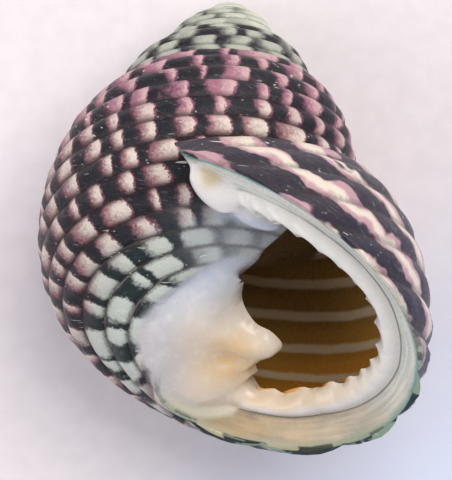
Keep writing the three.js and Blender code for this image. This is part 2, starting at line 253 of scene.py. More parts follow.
# Sweeps a section line along the coil into one closed solid. The line's points hold
# the angle, the cord's lift and the turn at the lip, and each end is closed by a fan.
def coilTree():
    tree = bpy.data.node_groups.new("cordedCoil", "GeometryNodeTree")
    tree.is_modifier = True
    tree.interface.new_socket(name="Geometry", in_out="OUTPUT", socket_type="NodeSocketGeometry")
    tree.interface.new_socket(name="Section", in_out="INPUT", socket_type="NodeSocketGeometry")
    for name, value in (("Stations", 8), ("Steps", 8)):
        socket = tree.interface.new_socket(name=name, in_out="INPUT", socket_type="NodeSocketInt")
        socket.default_value = value
    floats = {
        "From Turn": -1.0, "To Turn": 0.0, "Follow Lip": 0.0, "Coil Radius": 8.0, "Growth Per Turn": 2.0,
        "Growth Swell": 0.2, "Swell Turns": 2.5, "Coil Drop": 20.0, "Drop Power": 1.2, "Half Width": 6.0,
        "Half Height": 10.0, "Lean": 0.2, "Base Fullness": 0.5, "Base Angle": -2.5, "Base Spread": 0.5,
        "Cord Relief": 0.3, "Bead Relief": 0.05, "Bead Length": 1.0, "Unevenness": 0.05, "Glaze Turn": -0.7,
        "Glaze Angle": -1.1, "Lip Calm": 0.0, "Callus Edge": -0.9, "Callus Rise": 0.0, "Throat Sink": 0.0,
        "Seed": 0.0,
    }
    for name, value in floats.items():
        socket = tree.interface.new_socket(name=name, in_out="INPUT", socket_type="NodeSocketFloat")
        socket.default_value = value
    for name in ("Start Point", "End Point"):
        tree.interface.new_socket(name=name, in_out="INPUT", socket_type="NodeSocketVector")
    tree.interface.new_socket(name="Material", in_out="INPUT", socket_type="NodeSocketMaterial")

    given = tree.nodes.new("NodeGroupInput").outputs
    result = tree.nodes.new("NodeGroupOutput")
    do = partial(calc, tree)
    rows = do("ADD", given["Steps"], 3)
    columns = do("ADD", given["Stations"], 1)
    grid = tree.nodes.new("GeometryNodeMeshGrid")
    wire(tree, grid.inputs["Vertices X"], rows)
    wire(tree, grid.inputs["Vertices Y"], columns)
    place = tree.nodes.new("GeometryNodeInputPosition")
    flat = tree.nodes.new("ShaderNodeSeparateXYZ")
    wire(tree, flat.inputs[0], place.outputs[0])
    row = do("ROUND", do("MULTIPLY", do("ADD", flat.outputs[0], 0.5), do("SUBTRACT", rows, 1)))
    column = do("ROUND", do("MULTIPLY", do("ADD", flat.outputs[1], 0.5), given["Stations"]))
    column = do("FLOORED_MODULO", column, given["Stations"])

    sample = tree.nodes.new("GeometryNodeSampleIndex")
    sample.data_type = "FLOAT_VECTOR"
    sample.domain = "POINT"
    where = tree.nodes.new("GeometryNodeInputPosition")
    wire(tree, sample.inputs["Geometry"], given["Section"])
    wire(tree, sample.inputs["Value"], where.outputs[0])
    wire(tree, sample.inputs["Index"], column)
    station = tree.nodes.new("ShaderNodeSeparateXYZ")
    wire(tree, station.inputs[0], sample.outputs[0])
    angle, cordLift, lipTurn = station.outputs

    # turn of this row
    share = do("DIVIDE", do("SUBTRACT", row, 1), given["Steps"])
    share = do("MINIMUM", do("MAXIMUM", share, 0), 1)
    end = do("MULTIPLY_ADD", given["Follow Lip"], do("SUBTRACT", lipTurn, given["To Turn"]), given["To Turn"])
    turn = do("MULTIPLY_ADD", do("SUBTRACT", end, given["From Turn"]), share, given["From Turn"])
    fade = do("DIVIDE", do("MINIMUM", turn, 0), given["Swell Turns"])
    fade = do("EXPONENT", do("MULTIPLY", do("MULTIPLY", fade, fade), -1))
    swell = do("MULTIPLY", do("MULTIPLY", given["Growth Swell"], do("MULTIPLY", turn, turn)), fade)
    log = do("LOGARITHM", given["Growth Per Turn"], math.e)
    size = do("EXPONENT", do("MULTIPLY_ADD", log, turn, swell))
    azimuth = do("MULTIPLY", turn, -2 * math.pi)

    # cords, the beads along them and slow unevenness, all smoothed over under the glaze
    behind = ease(tree, do("SUBTRACT", given["Glaze Turn"], turn), -0.06, 0.06)
    below = ease(tree, do("SUBTRACT", given["Glaze Angle"], angle), -0.3, 0.3)
    bare = do("SUBTRACT", 1, do("MULTIPLY", behind, below))
    # and calmer on the ramp behind the lip
    late, ramp = ease(tree, turn, -0.34, -0.12), ease(tree, angle, -0.5, 0.3)
    calm = do("MULTIPLY", do("MULTIPLY", late, ramp), given["Lip Calm"])
    bare = do("MULTIPLY", bare, do("SUBTRACT", 1, calm))
    along = do("DIVIDE", do("MULTIPLY", do("MULTIPLY", size, 88), turn), given["Bead Length"])
    spot = vectorOf(tree, along, do("MULTIPLY", angle, 4.1), given["Seed"])
    beads = noise(tree, spot, 1.0, 1.0)
    slow = noise(tree, spot, 0.22, 2.0)
    crest = do("GREATER_THAN", cordLift, 0.2)
    bead = do("MULTIPLY", do("MULTIPLY", do("SUBTRACT", beads, 0.5), 4), given["Bead Relief"])
    sway = do("MULTIPLY", do("MULTIPLY", do("SUBTRACT", slow, 0.5), 2), given["Unevenness"])
    lift = do("MULTIPLY_ADD", bead, crest, do("MULTIPLY", cordLift, given["Cord Relief"]))
    lift = do("ADD", do("MULTIPLY", lift, bare), sway)
    # the callus thickens towards its edge inside the mouth and drops there to the throat
    deeper = ease(tree, angle, -1.85, -2.2, 0.0, 0.03)
    before = do("SUBTRACT", do("SUBTRACT", given["Callus Edge"], deeper), turn)
    thick, past = ease(tree, before, -0.15, -0.02), ease(tree, before, -0.004, 0.022)
    kept = do("MULTIPLY", do("MULTIPLY", thick, given["Callus Rise"]), do("SUBTRACT", 1, past))
    kept = do("SUBTRACT", kept, do("MULTIPLY", past, given["Throat Sink"]))
    lift = do("MULTIPLY_ADD", kept, below, lift)

    # the leaning oval of the section, filled out under the base
    cosine, sine = do("COSINE", angle), do("SINE", angle)
    turned = do("WRAP", do("SUBTRACT", angle, given["Base Angle"]), math.pi, -math.pi)
    turned = do("DIVIDE", turned, given["Base Spread"])
    full = do("EXPONENT", do("MULTIPLY", do("MULTIPLY", turned, turned), -1))
    full = do("MULTIPLY_ADD", given["Base Fullness"], full, 1)
    nx, ny = do("DIVIDE", cosine, given["Half Width"]), do("DIVIDE", sine, given["Half Height"])
    length = do("SQRT", do("MULTIPLY_ADD", nx, nx, do("MULTIPLY", ny, ny)))
    nx, ny = do("DIVIDE", nx, length), do("DIVIDE", ny, length)
    across = do("MULTIPLY", do("MULTIPLY", given["Half Width"], cosine), full)
    across = do("MULTIPLY_ADD", lift, nx, across)
    upright = do("MULTIPLY", do("MULTIPLY", given["Half Height"], sine), full)
    upright = do("MULTIPLY_ADD", lift, ny, upright)
    cosLean, sinLean = do("COSINE", given["Lean"]), do("SINE", given["Lean"])
    out = do("SUBTRACT", do("MULTIPLY", across, cosLean), do("MULTIPLY", upright, sinLean))
    radius = do("MULTIPLY", size, do("ADD", given["Coil Radius"], out))
    above = do("MULTIPLY_ADD", across, sinLean, do("MULTIPLY", upright, cosLean))
    drop = do("MULTIPLY", given["Coil Drop"], do("POWER", size, given["Drop Power"]))
    height = do("SUBTRACT", do("MULTIPLY", size, above), drop)

    point = vectorOf(tree, do("MULTIPLY", radius, do("COSINE", azimuth)),
                     do("MULTIPLY", radius, do("SINE", azimuth)), height)
    # the first and last rows shrink to the points that close the ends
    for name, isEnd in (("Start Point", do("LESS_THAN", row, 0.5)),
                        ("End Point", do("GREATER_THAN", row, do("SUBTRACT", rows, 1.5)))):
        choice = tree.nodes.new("GeometryNodeSwitch")
        choice.input_type = "VECTOR"
        wire(tree, choice.inputs["Switch"], isEnd)
        wire(tree, choice.inputs["False"], point)
        wire(tree, choice.inputs["True"], given[name])
        point = choice.outputs[0]

    setPosition = tree.nodes.new("GeometryNodeSetPosition")
    wire(tree, setPosition.inputs["Geometry"], grid.outputs["Mesh"])
    wire(tree, setPosition.inputs["Position"], point)
    weld = tree.nodes.new("GeometryNodeMergeByDistance")
    wire(tree, weld.inputs["Geometry"], setPosition.outputs[0])
    weld.inputs["Distance"].default_value = 1e-5
    realize = tree.nodes.new("GeometryNodeRealizeInstances")
    wire(tree, realize.inputs[0], weld.outputs[0])
    paint = tree.nodes.new("GeometryNodeSetMaterial")
    wire(tree, paint.inputs["Geometry"], realize.outputs[0])
    wire(tree, paint.inputs["Material"], given["Material"])
    wire(tree, result.inputs[0], paint.outputs[0])
    return tree


coilNodes = coilTree()


def newObject(name, mesh):
    piece = bpy.data.objects.new(name, mesh)
    bpy.context.scene.collection.objects.link(piece)
    return piece


def plainMesh(piece, name):
    bpy.context.view_layer.update()
    graph = bpy.context.evaluated_depsgraph_get()
    mesh = bpy.data.meshes.new_from_object(piece.evaluated_get(graph))
    mesh.name = name
    return mesh


def meshCoordinates(mesh):
    flat = np.empty(len(mesh.vertices) * 3, np.float32)
    mesh.vertices.foreach_get("co", flat)
    return flat.reshape(-1, 3).astype(float)


def readNumbers(items, attribute, width=1):
    numbers = np.empty(len(items) * width, int)
    items.foreach_get(attribute, numbers)
    return numbers


def searchTree(points, chosen):
    tree = KDTree(len(points))
    for index in chosen:
        tree.insert(points[index], int(index))
    tree.balance()
    return tree


# A temporary material names the piece that each face came from, through all the joining
def sourceMaterial(name):
    return bpy.data.materials.new("from_" + name)


def pointOutwards(mesh):
    mesh.calc_loop_triangles()
    points = meshCoordinates(mesh)
    corners = np.array([tri.vertices[:] for tri in mesh.loop_triangles])
    a, b, c = (points[corners[:, i]] for i in range(3))
    if np.einsum("ij,ij->i", a, np.cross(b, c)).sum() < 0:
        mesh.flip_normals()


def coilPiece(name, fromTurn, toTurn, steps, cords, plain, endPoint=None, slim=1.0):
    angle, lift, atLip = sectionStations(cords, plain)
    line = bpy.data.meshes.new(name + "Section")
    line.from_pydata(np.stack([angle, lift, atLip], -1).tolist(), [], [])
    piece = newObject(name, line)
    modifier = piece.modifiers.new("coil", "NODES")
    modifier.node_group = coilNodes
    step = (toTurn - fromTurn) / steps
    start = whorlPoints(fromTurn - 0.4 * step, 0.0, 0.0)
    end = whorlPoints(toTurn + 0.4 * step, 0.0, 0.0) if endPoint is None else endPoint
    values = {
        "Stations": len(angle), "Steps": steps, "From Turn": fromTurn, "To Turn": toTurn,
        "Follow Lip": 0.0 if endPoint is None else 1.0, "Material": sourceMaterial(name),
        "Start Point": Vector(start), "End Point": Vector(end),
    }
    # the tree's inputs have the names of the coil's own values, in words
    for key, value in coil.items():
        title = "".join(" " + letter if letter.isupper() else letter for letter in key)
        values[title[0].upper() + title[1:]] = value
    values["Half Width"] *= slim
    values["Half Height"] *= slim
    for item in coilNodes.interface.items_tree:
        if item.in_out == "INPUT" and item.name in values:
            modifier[item.identifier] = values[item.name]
    mesh = plainMesh(piece, name)
    piece.modifiers.remove(modifier)
    piece.data = mesh
    pointOutwards(mesh)
    return piece


def solidPiece(name, points, faces):
    mesh = bpy.data.meshes.new(name)
    mesh.from_pydata(points.tolist(), [], faces)
    mesh.materials.append(sourceMaterial(name))
    mesh.update()
    pointOutwards(mesh)
    return newObject(name, mesh)


# A closed solid from rings of equal length, each end closed by a fan to its centre
def ringPiece(name, rings, startCentre, endCentre):
    rings = np.asarray(rings)
    rows, count = rings.shape[:2]
    points = np.concatenate([rings.reshape(-1, 3), [startCentre], [endCentre]])
    start, end = rows * count, rows * count + 1
    faces = []
    for j in range(count):
        following = (j + 1) % count
        faces.append((start, j, following))
        for i in range(rows - 1):
            low = i * count
            high = low + count
            faces.append((low + j, high + j, high + following, low + following))
        last = (rows - 1) * count
        faces.append((end, last + following, last + j))
    return solidPiece(name, points, faces)


mouthCentre = np.array(mouth["centre"])
mouthNormal = np.array(mouth["normal"]) / np.linalg.norm(mouth["normal"])
mouthRight = np.array(mouth["right"]) / np.linalg.norm(mouth["right"])
mouthUp = np.cross(mouthNormal, mouthRight)


def mouthPoints(x, y, depth):
    x, y, depth = np.broadcast_arrays(x, y, depth)
    return (mouthCentre + x[..., None] * mouthRight + y[..., None] * mouthUp - depth[..., None] * mouthNormal)


def openingPoints(angle, reach):
    offset = whorlPoints(endTurn(angle), angle) - mouthCentre
    place = np.stack([offset @ mouthRight, offset @ mouthUp], -1)
    inward = np.array(mouth["opening"]) - place
    inward /= np.linalg.norm(inward, axis=-1, keepdims=True)
    face = np.array(mouth["face"])[::-1]
    width = np.interp(angle, face[:, 0], face[:, 1]) + reach
    depth = np.interp(angle, face[:, 0], face[:, 2])
    place = place + inward * width[:, None]
    return mouthPoints(place[:, 0], place[:, 1], depth)


# Teeth of uneven size along the edge of the opening
def toothWave(angle):
    part = np.clip((mouth["toothTop"] - angle) / (mouth["toothTop"] - mouth["toothBottom"]), -0.2, 1.2)
    phase = (1.4 - 0.4 * part) * part * mouth["toothCount"]
    phase = phase + 0.35 * np.sin(7.3 * part + 1.0) + 0.2 * np.sin(19.0 * part)
    wave = np.abs(np.sin(math.pi * phase)) ** 0.8 - 0.5
    size = 0.8 + 0.3 * np.sin(11.0 * part + 0.6) * np.cos(5.0 * part)
    return wave * size * smoothStep(-0.05, 0.03, part) * (1 - smoothStep(0.97, 1.05, part))


# What is missing from the last whorl: the hollow of the mouth's face and the throat behind it
def mouthHollow():
    toothed = np.linspace(mouth["toothTop"] + 0.05, mouth["toothBottom"] - 0.05, mouth["toothedStations"])
    plain = np.linspace(toothed[-1], toothed[0] - 2 * math.pi, mouth["plainStations"])[1:-1]
    angle = np.concatenate([toothed, plain])
    angle = np.where(angle < lip["outerAngle"] - 2 * math.pi, angle + 2 * math.pi, angle)
    wave = toothWave(angle)
    fromTurn = endTurn(angle)
    out = smoothStep(2.4, 2.7, -angle) * (1 - smoothStep(4.7, 5.0, -angle))
    outside = out[:, None]
    clear = whorlPoints(fromTurn, angle, mouth["clearShare"])
    plainInner = openingPoints(angle, 0 * wave)
    plainInner = plainInner + (clear - plainInner) * outside
    inner = openingPoints(angle, -mouth["toothReach"] * wave * (1 + 0.7 * smoothStep(-0.4, 0.4, angle)))
    inner = inner + (clear - inner) * outside
    edge = whorlPoints(fromTurn, angle)
    edge = edge + (inner - edge) * mouth["rimShare"]
    rim = edge + (clear + 1.5 * mouthNormal - edge) * outside
    ends = np.array([lip["innerAngle"], lip["outerAngle"]])
    lower, upper = whorlPoints(endTurn(ends), ends)
    between = lower + (upper - lower) * behindShare(angle)[:, None]
    front = np.where((angle < lip["innerAngle"])[:, None], between, rim) + 5 * mouthNormal
    rings, rowPlaces = [front, rim], [-1.0, 0.0]
    ribFrom = mouth["ribFrom"] + mouth["ribNarrows"] * smoothStep(-0.2, 0.5, angle)
    for share in np.linspace(0, 1, mouth["faceRows"] + 1)[1:]:
        across = np.clip((share - ribFrom) / (1 - ribFrom), 0, 1)
        bulge = mouth["ribRise"] * np.sin(math.pi * across) ** 0.8 * (1 - 0.5 * smoothStep(0.1, 0.7, angle))
        band = mouth["bandSink"] * smoothStep(0, ribFrom - 0.03, share)
        sink = np.where(share < ribFrom, band, mouth["bandSink"] * (1 - across) - bulge)
        low = smoothStep(0.2, -1.2, angle) * 0.35 + 0.9
        sink = sink - mouth["toothRise"] * wave * low * smoothStep(0.55, 0.95, share) * 2.2
        if share == 1:
            sink = sink * 0
        edge = plainInner + (inner - plainInner) * smoothStep(0.6, 1.0, share)
        rings.append(rim + (edge - rim) * share - (sink * (1 - out))[:, None] * mouthNormal)
        rowPlaces.append(share)
    reachIn = mouth["wallShare"] + (mouth["clearShare"] - mouth["wallShare"]) * out
    wall = whorlPoints(fromTurn, angle, reachIn)
    offset = inner - wall
    run = np.linalg.norm(wall - whorlPoints(mouth["throatTurn"], angle, reachIn), axis=-1) + 1
    for share in np.linspace(0, 1, mouth["throatRows"] + 1)[1:] ** 1.5:
        fade = 1 - smoothStep(0, 1, share / np.minimum(1, mouth["ribDepth"] / run))
        t = fromTurn + (mouth["throatTurn"] - fromTurn) * share
        ridge = mouth["threadRise"] * np.cos((angle - mouth["threadAngle"]) * mouth["threads"]) * (1 - fade)
        rings.append(whorlPoints(t, angle, reachIn + ridge) + offset * fade[:, None])
        rowPlaces.append(1 + share)
    rings = np.array(rings)
    hollow = ringPiece("mouthFace", rings[::-1], rings[-1].mean(0), mouthCentre + 8 * mouthNormal)
    places = np.stack(np.broadcast_arrays(np.array(rowPlaces)[:, None], angle[None, :]), -1)
    return hollow, np.concatenate([places[::-1].reshape(-1, 2), [[2.0, 0.0]], [[-1.0, 0.0]]])


shieldValues = {
    # edge in the mouth plane: right, up, and depth behind it
    "edge": [
        (-5.1, 3.2, 3.9), (-5.75, 1.2, 2.9), (-5.85, -0.5, 2.4), (-4.8, -1.6, 1.8), (-3.6, -1.9, 1.6),
        (-2.9, -2.7, 1.6), (-3.2, -3.7, 1.7), (-4.1, -4.6, 1.9), (-4.8, -5.7, 2.1), (-4.5, -7.5, 2.5),
        (-5.4, -9.2, 2.0), (-7.5, -9.0, 0.6), (-9.1, -7.6, -0.9), (-10.4, -4.6, -1.5), (-10.9, -2.0, -1.1),
        (-10.2, 0.0, -0.3), (-9.3, 1.3, 1.0), (-8.2, 2.7, 1.9), (-7.4, 5.0, 3.0), (-6.2, 4.8, 3.8),
    ],
    # places inside it that the surface passes through: ridge to the tooth, hollow, folds
    "inside": [
        (-7.7, -2.6, 0.0), (-9.2, -2.7, -0.9), (-9.0, -5.2, -0.8), (-7.6, -5.3, 0.05), (-6.2, -6.4, 0.75),
        (-7.3, -7.6, 0.1), (-5.7, -8.0, 1.5), (-6.0, -4.3, 1.15), (-5.2, -3.1, 0.75), (-4.0, -2.8, 0.95),
        (-6.5, -1.9, 0.5), (-7.0, -0.4, 0.75), (-8.6, -0.6, -0.2), (-7.6, 1.0, 1.1), (-6.9, 2.4, 2.1),
        (-6.5, 3.7, 3.0), (-5.0, -5.1, 1.35), (-5.3, -7.0, 1.45),
    ],
    "back": (-10.9, -8.7, 8.0),
    "footDepth": 4.0,
    "perSide": 12,
    "spacing": 0.2,
    "roundEdge": 0.4,
}


def closedCurve(points, perSide):
    points = np.asarray(points, float)
    before, after, later = np.roll(points, 1, 0), np.roll(points, -1, 0), np.roll(points, -2, 0)
    x = np.linspace(0, 1, perSide, endpoint=False)[None, :, None]
    p0, p1, p2, p3 = (p[:, None, :] for p in (before, points, after, later))
    curve = 0.5 * (2 * p1 + (p2 - p0) * x + (2 * p0 - 5 * p1 + 4 * p2 - p3) * x ** 2
                   + (3 * p1 - p0 - 3 * p2 + p3) * x ** 3)
    return curve.reshape(-1, points.shape[1])


# A thin plate bent through the known depths, read at other places
def bentPlate(known, depths, places):
    def bend(a, b):
        square = ((a[:, None, :] - b[None, :, :]) ** 2).sum(-1)
        return square * np.log(square + 1e-12) / 2
    count = len(known)
    flat = np.concatenate([np.ones((count, 1)), known], 1)
    system = np.block([[bend(known, known) + 1e-3 * np.eye(count), flat], [flat.T, np.zeros((3, 3))]])
    weights = np.linalg.solve(system, np.concatenate([depths, np.zeros(3)]))
    return bend(places, known) @ weights[:count] + weights[count] + places @ weights[count + 1:]


def insideOutline(places, outline):
    x, y = places.T
    crossings = np.zeros(len(places), int)
    for (x0, y0), (x1, y1) in zip(outline, np.roll(outline, -1, 0)):
        spans = (y0 > y) != (y1 > y)
        at = x0 + (y - y0) * (x1 - x0) / (y1 - y0 if y1 != y0 else 1e-12)
        crossings += spans & (x < at)
    return crossings % 2 == 1


def edgeDistance(places, outline):
    nearest = np.full(len(places), 1e9)
    for start, end in zip(outline, np.roll(outline, -1, 0)):
        run = end - start
        along = np.clip(((places - start) @ run) / (run @ run), 0, 1)
        nearest = np.minimum(nearest, np.linalg.norm(places - start - along[:, None] * run, axis=1))
    return nearest


# The pillar's smooth shield with its tooth: a bent plate over a fine grid, its sides run down into the coil
def shieldPiece():
    edge = closedCurve(shieldValues["edge"], shieldValues["perSide"])[::-1]
    outline = edge[:, :2]
    low, high = outline.min(0), outline.max(0)
    spacing = shieldValues["spacing"]
    xs, ys = np.arange(low[0], high[0], spacing), np.arange(low[1], high[1], spacing * 0.87)
    grid = np.array([(x + (row % 2) * spacing / 2, y) for row, y in enumerate(ys) for x in xs])
    grid = grid[insideOutline(grid, outline)]
    grid = grid[edgeDistance(grid, outline) > 0.6 * spacing]
    places = np.concatenate([outline, grid])
    count = len(outline)
    loop = [(i, (i + 1) % count) for i in range(count)]
    flat = delaunay_2d_cdt([Vector(place) for place in places], loop, [list(range(count))], 1, 1e-6)
    corners, faces = np.array([tuple(v) for v in flat[0]]), flat[2]
    rimIndex = {given: index for index, origins in enumerate(flat[3]) for given in origins}
    known = np.concatenate([edge[::3], np.array(shieldValues["inside"])])
    depth = bentPlate(known[:, :2], known[:, 2], corners)
    reach = shieldValues["roundEdge"]
    inward = np.clip(1 - edgeDistance(corners, outline) / reach, 0, 1)
    depth = depth + reach * (1 - np.sqrt(1 - inward ** 2))
    face = mouthPoints(corners[:, 0], corners[:, 1], depth)
    backX, backY, backDepth = shieldValues["back"]
    back = mouthPoints(backX, backY, backDepth)
    footDepth = edge[:, 2] + shieldValues["footDepth"]
    foot = mouthPoints(0.5 * (edge[:, 0] + backX), 0.5 * (edge[:, 1] + backY), footDepth)
    points = np.concatenate([face, foot, [back]])
    total = len(face)
    for i in range(count):
        following = (i + 1) % count
        faces.append((rimIndex[following], rimIndex[i], total + i, total + following))
        faces.append((total + following, total + i, total + count))
    return solidPiece("shield", points, faces)


pillarValues = {
    "heights": [-0.4, -2.0, -5.0, -9.0, -13.0, -18.0, -21.5],
    "shares": [0.5, 0.6, 0.6, 0.6, 0.5, 0.2, 0.15],
    "sides": 24,
}


# The solid middle of the coil, which closes the navel and fills the spire
def pillarPiece():
    around = np.linspace(0, 2 * math.pi, pillarValues["sides"], endpoint=False)
    rings = []
    for height, share in zip(pillarValues["heights"], pillarValues["shares"]):
        radius = share * coil["coilRadius"] * (-height / coil["coilDrop"]) ** (1 / coil["dropPower"])
        level = np.full_like(around, height)
        rings.append(np.stack([radius * np.cos(around), radius * np.sin(around), level], -1))
    return ringPiece("pillar", rings, rings[0].mean(0), rings[-1].mean(0))


# The white knob where the lip meets the spire, and the callus that runs from it under the rib
knobValues = {
    "knob": {"centre": (-7.15, 9.95, 1.5), "slope": -0.8, "length": 2.2, "width": 1.25, "height": 1.2},
    "callus": {"centre": (-5.5, 8.35, 2.4), "slope": -0.5, "length": 2.7, "width": 1.25, "height": 1.15},
}
knobSides, knobRows = 64, 32


def knobPiece(name):
    values = knobValues[name]
    cosine, sine = math.cos(values["slope"]), math.sin(values["slope"])
    along = cosine * mouthRight + sine * mouthUp
    across = np.cross(mouthNormal, along)
    middle = mouthPoints(*values["centre"])
    around = np.linspace(0, 2 * math.pi, knobSides, endpoint=False)
    rings = []
    for up in np.linspace(-math.pi / 2, math.pi / 2, knobRows + 2)[1:-1]:
        x, y = np.cos(around) * math.cos(up), np.sin(around) * math.cos(up)
        rings.append(middle + values["length"] * x[:, None] * along + values["width"] * y[:, None] * across
                     + values["height"] * math.sin(up) * mouthNormal)
    top = values["height"] * mouthNormal
    return ringPiece(name, rings, middle - top, middle + top)


def join(piece, other, operation):
    modifier = piece.modifiers.new("join", "BOOLEAN")
    modifier.operation = operation
    modifier.solver = "MANIFOLD"
    modifier.object = other
    modifier.material_mode = "TRANSFER"
    mesh = plainMesh(piece, piece.name)
    piece.modifiers.remove(modifier)
    old = piece.data
    piece.data = mesh
    bpy.data.meshes.remove(old)
    bpy.data.objects.remove(other)


# the pieces of the coil: where they start and end, steps along them, stations round their plain side
lastWhorl = {"steps": 250, "plain": 14}
filler = {"span": (-0.8, -0.59), "steps": 30, "plain": 10, "slim": 0.993}
spire = [
    (-1.2, coil["backTurn"], 92, coil["cordCount"], 10), (-1.7, -1.2, 70, coil["spireCords"], 8),
    (-2.2, -1.7, 54, coil["spireCords"], 8), (-2.7, -2.2, 44, coil["spireCords"], 8),
    (-3.2, -2.7, 36, coil["spireCords"], 8), (-3.7, -3.2, 28, coil["spireCords"], 8),
    (coil["apexTurn"], -3.7, 22, coil["spireCords"], 8),
]
body = coilPiece("lastWhorl", coil["backTurn"], lip["turn"], lastWhorl["steps"], coil["cordCount"],
                 lastWhorl["plain"], mouthCentre)
print("last whorl", len(body.data.polygons), "faces")
join(body, pillarPiece(), "UNION")
hollow, hollowPlaces = mouthHollow()  # with the row and angle of each of its points
hollowPoints = meshCoordinates(hollow.data)
join(body, hollow, "DIFFERENCE")
print("mouth cut", len(body.data.polygons), "faces")
# just under the surface, it closes a gap where the blind end of the throat comes close to it
underSurface = coilPiece("filler", *filler["span"], filler["steps"], coil["cordCount"], filler["plain"],
                         slim=filler["slim"])
join(body, underSurface, "UNION")
for number, values in enumerate(spire):
    join(body, coilPiece("spire" + str(number), *values), "UNION")
print("spire joined", len(body.data.polygons), "faces")
join(body, shieldPiece(), "UNION")
for name in knobValues:
    join(body, knobPiece(name), "UNION")


# Joining can leave a crumb of a few points by itself; only the largest connected piece is kept
def dropCrumbs(mesh):
    a, b = readNumbers(mesh.edges, "vertices", 2).reshape(-1, 2).T
    label, before = np.arange(len(mesh.vertices)), None
    while before is None or (label != before).any():
        before = label.copy()
        least = np.minimum(label[a], label[b])
        np.minimum.at(label, a, least)
        np.minimum.at(label, b, least)
        label = label[label]
    crumbs = np.nonzero(label != np.bincount(label).argmax())[0]
    work = bmesh.new()
    work.from_mesh(mesh)
    work.verts.ensure_lookup_table()
    bmesh.ops.delete(work, geom=[work.verts[int(i)] for i in crumbs], context="VERTS")
    work.to_mesh(mesh)
    work.free()
    return len(crumbs)


turnMatrix = Matrix([rest["right"], rest["away"], rest["up"]]).to_4x4()
toRest = Matrix.Translation(rest["shift"]) @ turnMatrix
toMetres = Matrix.Scale(0.001, 4)
body.data.transform(toRest)
# whatever lies under the floor is worn away
wide, deep = 60, -20
around = [(-wide, -wide), (wide, -wide), (wide, wide), (-wide, wide)]
floorBox = ringPiece("restFlat", [[(x, y, deep) for x, y in around], [(x, y, 0) for x, y in around]],
                     (0, 0, deep), (0, 0, 0))
join(body, floorBox, "DIFFERENCE")
print("crumbs dropped", dropCrumbs(body.data), "points")
body.name = "shellBody"
body.data.name = "shellBody"
print("laid down", len(body.data.polygons), "faces", len(body.data.vertices), "points")


# Finds the turn and angle on the coil for points near it: the closest of a loose grid, then closer steps
def coilPlaces(points, fromTurn, toTurn):
    turns = np.linspace(fromTurn - 0.03, toTurn, max(24, int((toTurn - fromTurn) * 240)))
    angles = np.linspace(-math.pi - 0.2, math.pi - 0.2, 150)
    grid = whorlPoints(turns[:, None], angles[None, :]).reshape(-1, 3)
    real = (turns[:, None] < endTurn(angles)[None, :] + 0.02).ravel()
    tree = searchTree(grid, np.nonzero(real)[0])
    nearest = np.array([tree.find(point)[1] for point in points])
    t, angle = turns[nearest // len(angles)].copy(), angles[nearest % len(angles)].copy()
    for step in range(4):
        here = whorlPoints(t, angle)
        alongTurn = (whorlPoints(t + 1e-4, angle) - here) / 1e-4
        alongAngle = (whorlPoints(t, angle + 1e-4) - here) / 1e-4
        miss = points - here
        a, b = (alongTurn ** 2).sum(1), (alongTurn * alongAngle).sum(1)
        c = (alongAngle ** 2).sum(1)
        p, q = (alongTurn * miss).sum(1), (alongAngle * miss).sum(1)
        det = a * c - b * b + 1e-9
        t = t + np.clip((c * p - b * q) / det, -0.02, 0.02)
        angle = angle + np.clip((a * q - b * p) / det, -0.1, 0.1)
    return t, angle


def sourceNames(mesh):
    names = [slot.name[5:].split(".")[0] if slot else "pillar" for slot in mesh.materials]
    return np.array(names)[readNumbers(mesh.polygons, "material_index")]


